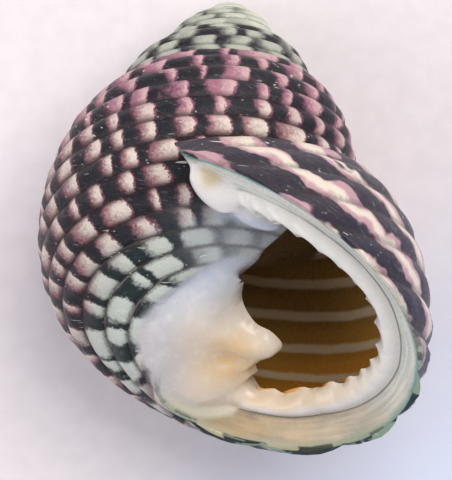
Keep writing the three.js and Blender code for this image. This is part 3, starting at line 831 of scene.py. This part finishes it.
# Writes the maps that the materials follow: coil (length along, cord), place (turn, angle; in the mouth
# row, angle), growth (length and turns back from the lip's line) and border (millimetres from the enamel)
def writeMaps(mesh, borderDistance):
    points = meshCoordinates(mesh)
    points = (points - np.array(rest["shift"])) @ np.array([rest["right"], rest["away"], rest["up"]])
    corner = readNumbers(mesh.loops, "vertex_index")
    total = readNumbers(mesh.polygons, "loop_total")
    fromPiece = sourceNames(mesh).astype(object)
    first = np.concatenate([[0], np.cumsum(total)[:-1]])
    hollowTree = searchTree(hollowPoints, range(len(hollowPoints)))
    middle = np.add.reduceat(points[corner], first) / total[:, None]
    for index in np.nonzero(fromPiece == "mouthFace")[0]:
        row, angle = hollowPlaces[hollowTree.find(middle[index])[1]]
        # behind the pillar and at the throat's blind end the outside shows, not the mouth
        if angle < -2.7 or (row > 1.95 and angle < -2.4):
            fromPiece[index] = "filler"
    cornerPiece = np.repeat(fromPiece, total)
    place = np.zeros((len(corner), 2))
    along = np.zeros((len(corner), 2))
    growth = np.zeros((len(corner), 2))
    middles = np.interp(np.arange(coil["cordCount"]) + 0.5, cordWalk, cordAngles)
    girth = np.hypot(*whorlPoints(0.0, middles)[:, :2].T) / np.hypot(*whorlPoints(0.0, 0.0)[:2])
    spans = {"lastWhorl": (coil["backTurn"], 0.45), "restFlat": (coil["backTurn"], 0.2),
             "pillar": (-2.0, 0.0), "filler": filler["span"]}
    for number, values in enumerate(spire):
        spans["spire" + str(number)] = values[:2]
    for name in sorted(set(fromPiece)):
        chosen = np.nonzero(cornerPiece == name)[0]
        used, back = np.unique(corner[chosen], return_inverse=True)
        if name in spans:
            t, angle = coilPlaces(points[used], *spans[name])
            onLip = np.clip(angle, lip["innerAngle"], lip["outerAngle"])
            tau = t - lipAt(onLip)
            place[chosen] = np.stack([t, angle], -1)[back]
            along[chosen] = np.stack([arcAt(t), cordAt(angle)], -1)[back]
            growth[chosen] = np.stack([arcAt(tau + lip["turn"]), tau], -1)[back]
        elif name == "mouthFace":
            nearest = np.array([hollowTree.find(point)[1] for point in points[used]])
            place[chosen] = hollowPlaces[nearest][back]
    number = np.repeat(np.add.reduceat(along[:, 1], first) / total, total)
    along[:, 0] *= girth[np.clip(np.floor(number), 0, coil["cordCount"] - 1).astype(int)]
    border = np.stack([borderDistance[corner], np.zeros(len(corner))], -1)
    for name, values in (("coil", along), ("place", place), ("growth", growth), ("border", border)):
        layer = mesh.uv_layers.new(name=name)
        layer.data.foreach_set("uv", values.astype(np.float32).ravel())
    return fromPiece


# Lets the enamel flow into what it grew on: points near its borders move towards their neighbours
softening = {"reach": 1.0, "rounds": 40, "pull": 0.5}


def softenBorders(mesh):
    piece = sourceNames(mesh)
    kind = np.isin(piece, ["shield", "knob", "callus"])
    points = meshCoordinates(mesh)
    corner = readNumbers(mesh.loops, "vertex_index")
    total = readNumbers(mesh.polygons, "loop_total")
    labels = {name: number for number, name in enumerate(sorted(set(piece)))}
    label = np.repeat([labels[name] for name in piece], total)
    enamel = np.repeat(kind, total)
    lowest, highest = np.full(len(points), 99), np.full(len(points), -1)
    np.minimum.at(lowest, corner, label)
    np.maximum.at(highest, corner, label)
    touched = np.zeros(len(points), bool)
    touched[corner[enamel]] = True
    border = np.nonzero((lowest != highest) & touched)[0]
    tree = searchTree(points, border)
    distance = np.array([tree.find(point)[2] for point in points])
    weight = softening["pull"] * (1 - smoothStep(0.3, 1.0, distance / softening["reach"]))
    weight[points[:, 2] < 0.5] = 0
    a, b = readNumbers(mesh.edges, "vertices", 2).reshape(-1, 2).T
    count = np.bincount(np.concatenate([a, b]), minlength=len(points))[:, None]
    for step in range(softening["rounds"]):
        total = np.zeros_like(points)
        for axis in range(3):
            total[:, axis] = np.bincount(a, points[b, axis], len(points))
            total[:, axis] += np.bincount(b, points[a, axis], len(points))
        points = points + weight[:, None] * (total / count - points)
    mesh.vertices.foreach_set("co", points.astype(np.float32).ravel())
    mesh.update()
    return distance


borderDistance = softenBorders(body.data)
print("enamel borders softened")
fromPiece = writeMaps(body.data, borderDistance)
print("maps written")


def tone(code):
    parts = [int(code[i:i + 2], 16) / 255 for i in (1, 3, 5)]
    return tuple(x / 12.92 if x <= 0.04045 else ((x + 0.055) / 1.055) ** 2.4 for x in parts) + (1.0,)


# Mixes two colours: each is a link, or the name of one among the piece's own colours
def tintWith(tree, colours, factor, first, second):
    node = tree.nodes.new("ShaderNodeMix")
    node.data_type = "RGBA"
    wire(tree, node.inputs[0], factor)
    for socket, item in zip(node.inputs[6:8], (first, second)):
        wire(tree, socket, tone(colours[item]) if isinstance(item, str) else item)
    return node.outputs[2]


def mapParts(tree, name):
    node = tree.nodes.new("ShaderNodeUVMap")
    node.uv_map = name
    parts = tree.nodes.new("ShaderNodeSeparateXYZ")
    wire(tree, parts.inputs[0], node.outputs[0])
    return parts.outputs[0], parts.outputs[1]


# object coordinates in millimetres
def millimetres(tree):
    coordinate = tree.nodes.new("ShaderNodeTexCoord")
    scale = tree.nodes.new("ShaderNodeVectorMath")
    scale.operation = "SCALE"
    scale.inputs["Scale"].default_value = 1000
    wire(tree, scale.inputs[0], coordinate.outputs["Object"])
    return scale.outputs[0]


# Worn specks, fine scratches and pits that every surface of the shell shows
def wearGroup():
    tree = bpy.data.node_groups.new("shellWear", "ShaderNodeTree")
    for name, value in (("Speck Amount", 0.5), ("Scratch Amount", 0.5)):
        socket = tree.interface.new_socket(name=name, in_out="INPUT", socket_type="NodeSocketFloat")
        socket.default_value = value
    for name in ("Worn", "Pits", "Grain"):
        tree.interface.new_socket(name=name, in_out="OUTPUT", socket_type="NodeSocketFloat")
    given = tree.nodes.new("NodeGroupInput").outputs
    result = tree.nodes.new("NodeGroupOutput").inputs
    do = partial(calc, tree)
    spot = millimetres(tree)
    cells = tree.nodes.new("ShaderNodeTexVoronoi")
    wire(tree, cells.inputs["Vector"], spot)
    cells.inputs["Scale"].default_value = 1.7
    speck = ease(tree, cells.outputs["Distance"], 0.0, 0.16, 1.0, 0.0)
    chance = tree.nodes.new("ShaderNodeSeparateColor")
    wire(tree, chance.inputs[0], cells.outputs["Color"])
    few = do("GREATER_THAN", chance.outputs[0], 0.8)
    patch = ease(tree, noise(tree, spot, 0.22, 2.0), 0.45, 0.62)
    speck = do("MULTIPLY", do("MULTIPLY", speck, few), given["Speck Amount"])
    stretch = tree.nodes.new("ShaderNodeMapping")
    stretch.inputs["Rotation"].default_value = (0.3, 0.5, 0.9)
    stretch.inputs["Scale"].default_value = (0.5, 5.5, 5.5)
    wire(tree, stretch.inputs["Vector"], spot)
    lines = noise(tree, stretch.outputs[0], 0.7, 1.0)
    scratch = ease(tree, lines, 0.70, 0.74)
    scratch = do("MULTIPLY", do("MULTIPLY", scratch, patch), given["Scratch Amount"])
    wire(tree, result["Worn"], do("MAXIMUM", speck, scratch))
    wire(tree, result["Pits"], do("MULTIPLY", do("LESS_THAN", chance.outputs[0], 0.02),
                                    ease(tree, cells.outputs["Distance"], 0.05, 0.14, 1.0, 0.0)))
    wire(tree, result["Grain"], noise(tree, spot, 3.2, 4.0, 0.65))
    return tree


wear = wearGroup()


def useWear(tree, look):
    node = tree.nodes.new("ShaderNodeGroup")
    node.node_tree = wear
    node.inputs["Speck Amount"].default_value = look["specks"]
    node.inputs["Scratch Amount"].default_value = look["scratches"]
    return node.outputs


def newMaterial(name):
    material = bpy.data.materials.new(name)
    material.use_nodes = True
    tree = material.node_tree
    return material, tree, tree.nodes["Principled BSDF"].inputs


# Links colour, roughness and relief to the shader, and sets its plain values
def finishShader(tree, shader, look, colour, rough, height):
    bump = tree.nodes.new("ShaderNodeBump")
    bump.inputs["Strength"].default_value = look["bump"]
    bump.inputs["Distance"].default_value = look["bumpDepth"]
    wire(tree, bump.inputs["Height"], height)
    wire(tree, shader["Base Color"], colour)
    wire(tree, shader["Roughness"], rough)
    wire(tree, shader["Normal"], bump.outputs[0])
    shader["Specular IOR Level"].default_value = look["specular"]
    shader["Coat Weight"].default_value = look["coat"]
    shader["Coat Roughness"].default_value = look["coatRough"]


enamelLook = {
    "cream": "#e4d2ba", "grey": "#c9c4c4", "blue": "#c3cbd6", "ochre": "#e3bd80", "white": "#f2eee8",
    "green": "#cdc8b0", "tan": "#cdb88f", "pit": "#4a3a22",
    "pitShare": 0.8, "specks": 0.2, "scratches": 0.15, "rough": 0.15, "roughGrain": 0.2,
    "bump": 0.12, "bumpDepth": 0.0001, "specular": 0.5, "coat": 0.3, "coatRough": 0.1,
}


# Colours of the smooth enamel by place in the mouth plane: cream, bluish above, an ochre hollow
def enamelGroup():
    tree = bpy.data.node_groups.new("enamelColour", "ShaderNodeTree")
    tree.interface.new_socket(name="Color", in_out="OUTPUT", socket_type="NodeSocketColor")
    result = tree.nodes.new("NodeGroupOutput").inputs
    do, tint = partial(calc, tree), partial(tintWith, tree, enamelLook)
    spot = millimetres(tree)
    axes = np.array([rest["right"], rest["away"], rest["up"]])

    def measure(direction):
        turned = axes @ direction
        node = tree.nodes.new("ShaderNodeVectorMath")
        node.operation = "DOT_PRODUCT"
        wire(tree, node.inputs[0], spot)
        node.inputs[1].default_value = turned
        start = turned @ np.array(rest["shift"]) + direction @ mouthCentre
        return do("SUBTRACT", node.outputs["Value"], float(start))

    right, up = measure(mouthRight), measure(mouthUp)
    drift = noise(tree, spot, 0.35, 2.0)
    fine = noise(tree, spot, 1.3, 3.0, 0.6)
    colour = tint(ease(tree, right, -7.5, -10.0), "cream", "grey")
    colour = tint(ease(tree, up, -2.5, 2.5), colour, "blue")
    dx, dy = do("ADD", right, 5.9), do("ADD", up, 4.2)
    away = do("SQRT", do("ADD", do("MULTIPLY", dx, dx), do("MULTIPLY", do("MULTIPLY", dy, dy), 0.6)))
    away = do("MULTIPLY_ADD", do("SUBTRACT", drift, 0.5), 1.6, away)
    colour = tint(ease(tree, away, 2.5, 0.5, 0.0, 0.85), colour, "ochre")
    colour = tint(ease(tree, fine, 0.45, 0.75, 0.0, 0.25), colour, "white")
    knobWhite = ease(tree, up, 7.5, 9.0)
    colour = tint(knobWhite, colour, "white")
    hollowX, hollowY = do("ADD", right, 7.3), do("SUBTRACT", up, 11.5)
    hollow = do("SQRT", do("ADD", do("MULTIPLY", hollowX, hollowX), do("MULTIPLY", hollowY, hollowY)))
    colour = tint(ease(tree, hollow, 1.3, 0.3, 0.0, 0.8), colour, "tan")
    low = do("ADD", do("MULTIPLY", right, 0.6), up)
    colour = tint(ease(tree, low, -11.5, -13.5), colour, "green")
    wire(tree, result["Color"], colour)
    return tree


enamelTint = enamelGroup()


def useEnamel(tree):
    node = tree.nodes.new("ShaderNodeGroup")
    node.node_tree = enamelTint
    return node.outputs["Color"]


cordLook = {
    "dark": "#12121b", "darkWarm": "#33202a", "darkGreen": "#0f2a27", "cream": "#e0d3c4", "pink": "#8c5860",
    "mauve": "#a0667c", "blush": "#cfa3a6", "mint": "#d3ded2", "greyGreen": "#b4b9a8", "apex": "#dfe2cf",
    # groove: painted shade for the grooves between the cords
    "groove": "#3a2f30", "flameDark": "#231b2c", "flameCream": "#ecdfcd", "flamePink": "#c49aa0",
    # throat here: the throat's brown darkened by painted shade, for the wall seen deep inside the mouth
    "marginDark": "#11282a", "marginPale": "#8fa88f", "glaze": "#8f969d", "glazeLow": "#ced4d0",
    "throat": "#3b2e19", "frost": "#b9b8bd", "chip": "#efe9e0",
    "pairLength": 2.35, "darkShare": 0.52, "cordShift": -0.6, "flameLength": 6.4,
    "specks": 0.8, "scratches": 0.9, "rough": 0.22, "roughGrain": 0.34,
    "bump": 0.6, "bumpDepth": 0.0002, "specular": 0.32, "coat": 0.05, "coatRough": 0.12,
}


def cordedMaterial():
    look = cordLook
    material, tree, shader = newMaterial("cordedShell")
    do, tint = partial(calc, tree), partial(tintWith, tree, look)

    def swing(value, amount, onto):
        return do("MULTIPLY_ADD", do("SUBTRACT", value, 0.5), amount, onto)

    def both(*masks):
        mask = masks[0]
        for other in masks[1:]:
            mask = do("MULTIPLY", mask, other)
        return mask

    along, cord = mapParts(tree, "coil")
    turn, angle = mapParts(tree, "place")
    back, tau = mapParts(tree, "growth")
    spot = millimetres(tree)
    slow = noise(tree, spot, 0.16, 2.0)
    patchy = noise(tree, spot, 0.33, 1.0)
    drift = noise(tree, spot, 0.55, 2.0)
    fine = noise(tree, spot, 1.9, 3.0, 0.6)
    ragged = noise(tree, spot, 5.0, 3.0, 0.7)
    number, across = do("FLOOR", cord), do("FRACT", cord)
    bulge = do("ABSOLUTE", do("SUBTRACT", across, 0.5))

    # places: towards the lip, under the base, above the shoulder, early whorls, under the milky glaze
    lower = ease(tree, angle, -0.5, -1.3, 0.0, 0.2)
    nearLip = ease(tree, do("SUBTRACT", tau, lower), -0.3, -0.16)
    farLip = do("SUBTRACT", 1, nearLip)
    under = both(ease(tree, swing(slow, 1.0, angle), -1.3, -1.8), farLip)
    above = both(ease(tree, swing(slow, 1.4, angle), -0.4, 0.2), farLip)
    early = ease(tree, swing(drift, 0.3, turn), -1.3, -1.5)
    tip = ease(tree, swing(drift, 0.35, turn), -2.6, -2.95)
    glaze = ease(tree, swing(drift, 0.09, turn), -0.68, -0.8)
    glaze = both(glaze, ease(tree, swing(drift, 0.4, angle), -0.9, -1.5))
    edge = do("ADD", turn, ease(tree, angle, -1.85, -2.2, 0.0, 0.03))
    inside = both(ease(tree, edge, -0.884, -0.9), ease(tree, angle, -1.1, -1.3))

    # checks: dark with a crisp and a soft end, then pink fading to cream and dimmed towards the cord's edges
    # as painted shade, staggered from cord to cord
    chance = tree.nodes.new("ShaderNodeTexWhiteNoise")
    chance.noise_dimensions = "1D"
    wire(tree, chance.inputs["W"], number)
    ownPace = noise(tree, vectorOf(tree, do("MULTIPLY", along, 0.22), do("MULTIPLY", number, 7.3)), 1.0, 2.0)
    phase = do("DIVIDE", swing(ownPace, 3.2, swing(drift, 0.8, along)), -look["pairLength"])
    phase = do("MULTIPLY_ADD", number, look["cordShift"], phase)
    phase = do("MULTIPLY_ADD", chance.outputs[0], 0.35, do("MULTIPLY_ADD", across, -0.15, phase))
    curve = do("MULTIPLY", bulge, bulge)
    phase = swing(ragged, 0.22, do("MULTIPLY_ADD", curve, 0.5, phase))
    block, blockNumber = do("FRACT", phase), do("FLOOR", phase)
    lot = tree.nodes.new("ShaderNodeTexWhiteNoise")
    lot.noise_dimensions = "2D"
    wire(tree, lot.inputs["Vector"], vectorOf(tree, number, blockNumber))
    width = swing(lot.outputs[0], 0.36, swing(fine, 0.35, look["darkShare"]))
    width = swing(patchy, ease(tree, above, 0.0, 1.0, 0.5, 1.3), width)
    width = do("MULTIPLY_ADD", under, -0.14, do("MULTIPLY_ADD", curve, 0.5, width))
    blur = ease(tree, do("MAXIMUM", glaze, both(early, 0.5)), 0.0, 1.0, 0.09, 0.34)
    start = ease(tree, block, 0.0, blur)
    end = ease(tree, do("SUBTRACT", block, width), do("MULTIPLY", blur, -1), do("ADD", blur, 0.03), 1.0, 0.0)
    checks = both(start, end)
    gone = do("DIVIDE", do("SUBTRACT", block, width), do("SUBTRACT", 1.02, width))
    mottle = do("MULTIPLY_ADD", ragged, 0.5, do("MULTIPLY", fine, 0.5))
    # pink to cream along each pale block, and towards each cord's edges less cream: painted shade, with a
    # painted highlight along the crest
    paleTintAndEdgeShade = both(ease(tree, swing(mottle, 1.6, gone), 0.0, 0.85), ease(tree, bulge, 0.5, 0.15, 0.35, 1.0))
    pale = tint(paleTintAndEdgeShade, "pink", "cream")
    high = tint(ease(tree, swing(ragged, 1.2, gone), 0.2, 0.9), "mauve", "blush")
    pale = tint(both(above, 0.85), pale, high)
    pale = tint(both(under, 0.85), pale, "mint")
    pale = tint(early, tint(glaze, pale, "glazeLow"), "greyGreen")
    deep = tint(ease(tree, do("SUBTRACT", block, width), -0.2, 0.02), "dark", "darkWarm")
    deep = tint(glaze, tint(both(under, 0.8), deep, "darkGreen"), "dark")

    # flames along the growth lines, towards the lip
    flame = do("DIVIDE", swing(drift, 3.4, back), look["flameLength"])
    flame = do("FRACT", do("MULTIPLY_ADD", cord, 0.03, flame))
    broken = swing(patchy, -1.1, flame)
    flames = both(ease(tree, flame, 0.0, 0.07), ease(tree, broken, 0.55, 0.63, 1.0, 0.0))
    rim = do("ABSOLUTE", do("SUBTRACT", flame, 0.8))
    creamy = tint(ease(tree, swing(fine, 0.1, rim), 0.05, 0.19), "flameCream", "flamePink")
    pale = tint(nearLip, pale, creamy)
    deep = tint(nearLip, deep, "flameDark")
    colour = tint(tint(nearLip, checks, flames), pale, deep)
    colour = tint(both(tip, 0.9), colour, "apex")

    # painted shade in the grooves between the cords, weaker at the apex, near the lip and above the shoulder,
    # and dashes along the very edge of the lip
    flat = do("MAXIMUM", do("MAXIMUM", tip, nearLip), above)
    groove = both(ease(tree, swing(ragged, 0.25, bulge), 0.3, 0.5), do("MULTIPLY_ADD", flat, -0.3, 0.8))
    colour = tint(groove, colour, "groove")
    dash = do("SINE", do("MULTIPLY_ADD", cord, 4.2, do("MULTIPLY", drift, 5.0)))
    dash = ease(tree, swing(fine, 1.0, dash), -0.3, 0.1)
    margin = tint(dash, "marginPale", "marginDark")
    onMargin = both(ease(tree, swing(fine, 0.006, tau), -0.009, -0.004), ease(tree, angle, 0.0, -0.7))
    colour = tint(onMargin, colour, margin)

    # fine pale hairs and chips worn into it, then the milky glaze beside the mouth
    worn = useWear(tree, look)
    hair = noise(tree, vectorOf(tree, do("MULTIPLY", back, 2.2), do("MULTIPLY", cord, 3.2)), 1.0, 4.0, 0.75)
    colour = tint(ease(tree, hair, 0.57, 0.72, 0.0, 0.3), colour, "frost")
    colour = tint(both(worn["Worn"], 0.85), colour, "chip")
    colour = tint(both(ease(tree, tau, -0.022, -0.012), ease(tree, angle, 0.95, 1.1)), colour, "flameCream")
    milk = tint(ease(tree, angle, -1.7, -2.2), "glaze", "glazeLow")
    colour = tint(both(glaze, ease(tree, slow, 0.3, 0.7, 0.3, 0.6)), colour, milk)
    # inside the mouth the wall takes a dark brown, darker than the throat's own brown: its colour with
    # painted shade deep in the mouth
    colour = tint(inside, colour, "throat")
    border = mapParts(tree, "border")[0]
    film = both(ease(tree, swing(drift, 0.7, border), 1.1, 0.2), do("SUBTRACT", 1, inside))
    colour = tint(film, colour, useEnamel(tree))
    smooth = do("MAXIMUM", glaze, film)
    rough = do("MULTIPLY_ADD", worn["Grain"], look["roughGrain"], look["rough"])
    rough = do("MULTIPLY_ADD", smooth, -0.1, rough)
    lines = noise(tree, vectorOf(tree, do("MULTIPLY", back, 7.0), do("MULTIPLY", cord, 0.5)), 1.0, 3.0)
    height = do("MULTIPLY_ADD", worn["Grain"], 0.7, do("MULTIPLY", lines, 0.6))
    height = do("MULTIPLY", do("MULTIPLY_ADD", hair, 0.5, height), do("MULTIPLY_ADD", smooth, -0.8, 1))
    finishShader(tree, shader, look, colour, rough, height)
    return material


mouthLook = {
    "teal": "#5f9f92", "nacre": "#cacdc2", "nacreLight": "#eaebe2", "nacreLow": "#978566",
    "nacreWarm": "#bfa070", "line": "#6a665a", "porcelain": "#efebe3", "cream": "#e6cfb0",
    "throat": "#93723a", "amber": "#e39a2c", "lira": "#e6d4b0", "margin": "#b0ab8c", "dash": "#1d2b28",
    "pit": "#4a3a22",
    "pitShare": 0.7, "specks": 0.3, "scratches": 0.2, "rough": 0.18, "roughGrain": 0.2,
    "bump": 0.15, "bumpDepth": 0.0001, "specular": 0.5, "coat": 0.3, "coatRough": 0.1,
}


def mouthMaterial():
    look = mouthLook
    material, tree, shader = newMaterial("lipAndThroat")
    do, tint = partial(calc, tree), partial(tintWith, tree, look)
    row, angle = mapParts(tree, "place")
    spot = millimetres(tree)
    drift = noise(tree, spot, 0.5, 2.0)
    low = ease(tree, angle, -0.4, -1.5)
    wavy = do("MULTIPLY_ADD", do("SUBTRACT", drift, 0.5), 0.1, row)
    rib = do("SUBTRACT", row, ease(tree, angle, -0.2, 0.5, 0.0, mouth["ribNarrows"]))
    # pearly band, with growth streaks across it, between the teal margin and the fine dark line
    grain = noise(tree, vectorOf(tree, do("MULTIPLY", row, 16.0), do("MULTIPLY", angle, 4.5)), 1.0, 2.0)
    nacre = tint(ease(tree, grain, 0.35, 0.7), "nacre", "nacreLight")
    warm = ease(tree, do("MULTIPLY_ADD", grain, 0.4, drift), 0.5, 0.9)
    warm = tint(warm, "nacreLow", "nacreWarm")
    nacre = tint(do("MULTIPLY", low, 0.9), nacre, warm)
    edge = tint(low, "teal", "margin")
    colour = tint(ease(tree, wavy, 0.02, 0.14), edge, nacre)
    dash = do("SINE", do("MULTIPLY_ADD", angle, 21.0, do("MULTIPLY", drift, 7.0)))
    dash = do("MULTIPLY", ease(tree, dash, 0.1, 0.5), ease(tree, wavy, 0.05, 0.02))
    colour = tint(do("MULTIPLY", dash, low), colour, "dash")
    creamy = do("MULTIPLY", low, ease(tree, wavy, 0.6, 0.85))
    white = tint(creamy, "porcelain", "cream")
    colour = tint(ease(tree, rib, 0.46, 0.5), colour, white)
    groove = do("MULTIPLY", ease(tree, rib, 0.44, 0.465), ease(tree, rib, 0.475, 0.5, 1.0, 0.0))
    groove = do("MULTIPLY", groove, ease(tree, angle, 0.45, 0.0, 0.2, 0.8))
    colour = tint(groove, colour, "line")
    # brown throat with pale spiral threads, amber where light comes through the lip
    amber = do("MULTIPLY", ease(tree, angle, 0.4, -0.7), ease(tree, row, 1.7, 1.1))
    wall = tint(amber, "throat", "amber")
    turned = do("MULTIPLY", do("SUBTRACT", angle, mouth["threadAngle"]), mouth["threads"])
    ridge = ease(tree, do("COSINE", do("MULTIPLY_ADD", drift, 0.8, turned)), 0.3, 0.95)
    ridge = do("MULTIPLY", ridge, ease(tree, row, 1.03, 1.2, 0.15, 0.8))
    wall = tint(ridge, wall, "lira")
    colour = tint(ease(tree, row, 1.0, 1.02), colour, wall)
    worn = useWear(tree, look)
    colour = tint(do("MULTIPLY", worn["Pits"], look["pitShare"]), colour, "pit")
    border = mapParts(tree, "border")[0]
    film = do("MULTIPLY", ease(tree, border, 0.9, 0.2), ease(tree, row, 1.06, 1.0))
    colour = tint(film, colour, useEnamel(tree))
    rough = do("MULTIPLY_ADD", worn["Grain"], look["roughGrain"], look["rough"])
    finishShader(tree, shader, look, colour, rough, worn["Grain"])
    return material


def enamelMaterial():
    look = enamelLook
    material, tree, shader = newMaterial("pillarEnamel")
    do, tint = partial(calc, tree), partial(tintWith, tree, look)
    worn = useWear(tree, look)
    colour = tint(do("MULTIPLY", worn["Pits"], look["pitShare"]), useEnamel(tree), "pit")
    rough = do("MULTIPLY_ADD", worn["Grain"], look["roughGrain"], look["rough"])
    finishShader(tree, shader, look, colour, rough, worn["Grain"])
    return material


finishes = [cordedMaterial(), mouthMaterial(), enamelMaterial()]
finishOf = {"mouthFace": 1, "shield": 2, "knob": 2, "callus": 2}
body.data.materials.clear()
for finish in finishes:
    body.data.materials.append(finish)
body.data.polygons.foreach_set("material_index", [finishOf.get(name, 0) for name in fromPiece])
body.data.transform(toMetres)
body.data.set_sharp_from_angle(angle=math.radians(60))
body.data.polygons.foreach_set("use_smooth", [True] * len(body.data.polygons))
body.data.update()
for material in [m for m in bpy.data.materials if m.name.startswith("from_")]:
    bpy.data.materials.remove(material)
print("finished piece", len(body.data.polygons), "faces")

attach(body, "root")
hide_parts("shell")

studio = {
    "floor": "#f1eaec", "floorGrain": "#ece5e7", "floorCornerShade": "#d6ddef", "floorSize": 1.2,
    "camera": (0.009117, 0.052091, 0.470273), "aim": (-0.000542, -0.0000949, 0.013261),
    "cameraUp": (-0.0029, 0.9925, -0.1221), "lens": 579.7,
    "keyFrom": (0.13, 0.22, 0.36), "keyPower": 1.5, "keySize": 0.32, "keyTint": (1.0, 0.97, 0.94),
    "fillFrom": (-0.28, -0.05, 0.30), "fillPower": 0.45, "fillSize": 0.3, "fillTint": (0.92, 0.95, 1.0),
    "sky": "#eceaf2", "skyStrength": 0.58,
}


def studioFloor():
    half = studio["floorSize"] / 2
    mesh = bpy.data.meshes.new("studioFloor")
    corners = [(-half, -half, 0), (half, -half, 0), (half, half, 0), (-half, half, 0)]
    mesh.from_pydata(corners, [], [(0, 1, 2, 3)])
    material, tree, shader = newMaterial("paperFloor")
    spot = millimetres(tree)
    paper = noise(tree, spot, 0.8, 3.0)
    tint = partial(tintWith, tree, studio)
    colour = tint(ease(tree, paper, 0.3, 0.7), "floorGrain", "floor")
    parts = tree.nodes.new("ShaderNodeSeparateXYZ")
    wire(tree, parts.inputs[0], spot)
    # the floor turns darker and bluer towards one corner: painted shade with a painted bluish fill light
    corner = calc(tree, "SUBTRACT", parts.outputs[0], parts.outputs[1])
    colour = tint(ease(tree, corner, 5.0, 32.0), colour, "floorCornerShade")
    wire(tree, shader["Base Color"], colour)
    shader["Roughness"].default_value = 0.8
    mesh.materials.append(material)
    return newObject("studioFloor", mesh)


def areaLight(name):
    lamp = bpy.data.lights.new(name + "Light", "AREA")
    lamp.energy = studio[name + "Power"]
    lamp.size = studio[name + "Size"]
    lamp.color = studio[name + "Tint"]
    holder = newObject(name + "Light", lamp)
    place = Vector(studio[name + "From"])
    holder.location = place
    holder.rotation_euler = (Vector((0, 0, 0.01)) - place).to_track_quat("-Z", "Y").to_euler()


studioFloor()
areaLight("key")
areaLight("fill")
world = bpy.data.worlds.new("studioSky")
world.use_nodes = True
world.node_tree.nodes["Background"].inputs["Color"].default_value = tone(studio["sky"])
world.node_tree.nodes["Background"].inputs["Strength"].default_value = studio["skyStrength"]
bpy.context.scene.world = world
bpy.context.scene.view_settings.view_transform = "Standard"

cameraData = bpy.data.cameras.new("camera")
cameraData.sensor_fit = "HORIZONTAL"
cameraData.sensor_width = 36
cameraData.lens = studio["lens"]
cameraData.clip_end = 10
camera = newObject("camera", cameraData)
backward = (Vector(studio["camera"]) - Vector(studio["aim"])).normalized()
sideways = Vector(studio["cameraUp"]).cross(backward).normalized()
upward = backward.cross(sideways)
turned = Matrix((sideways, upward, backward)).transposed().to_4x4()
camera.matrix_world = Matrix.Translation(studio["camera"]) @ turned
bpy.context.scene.camera = camera
print("studio ready")
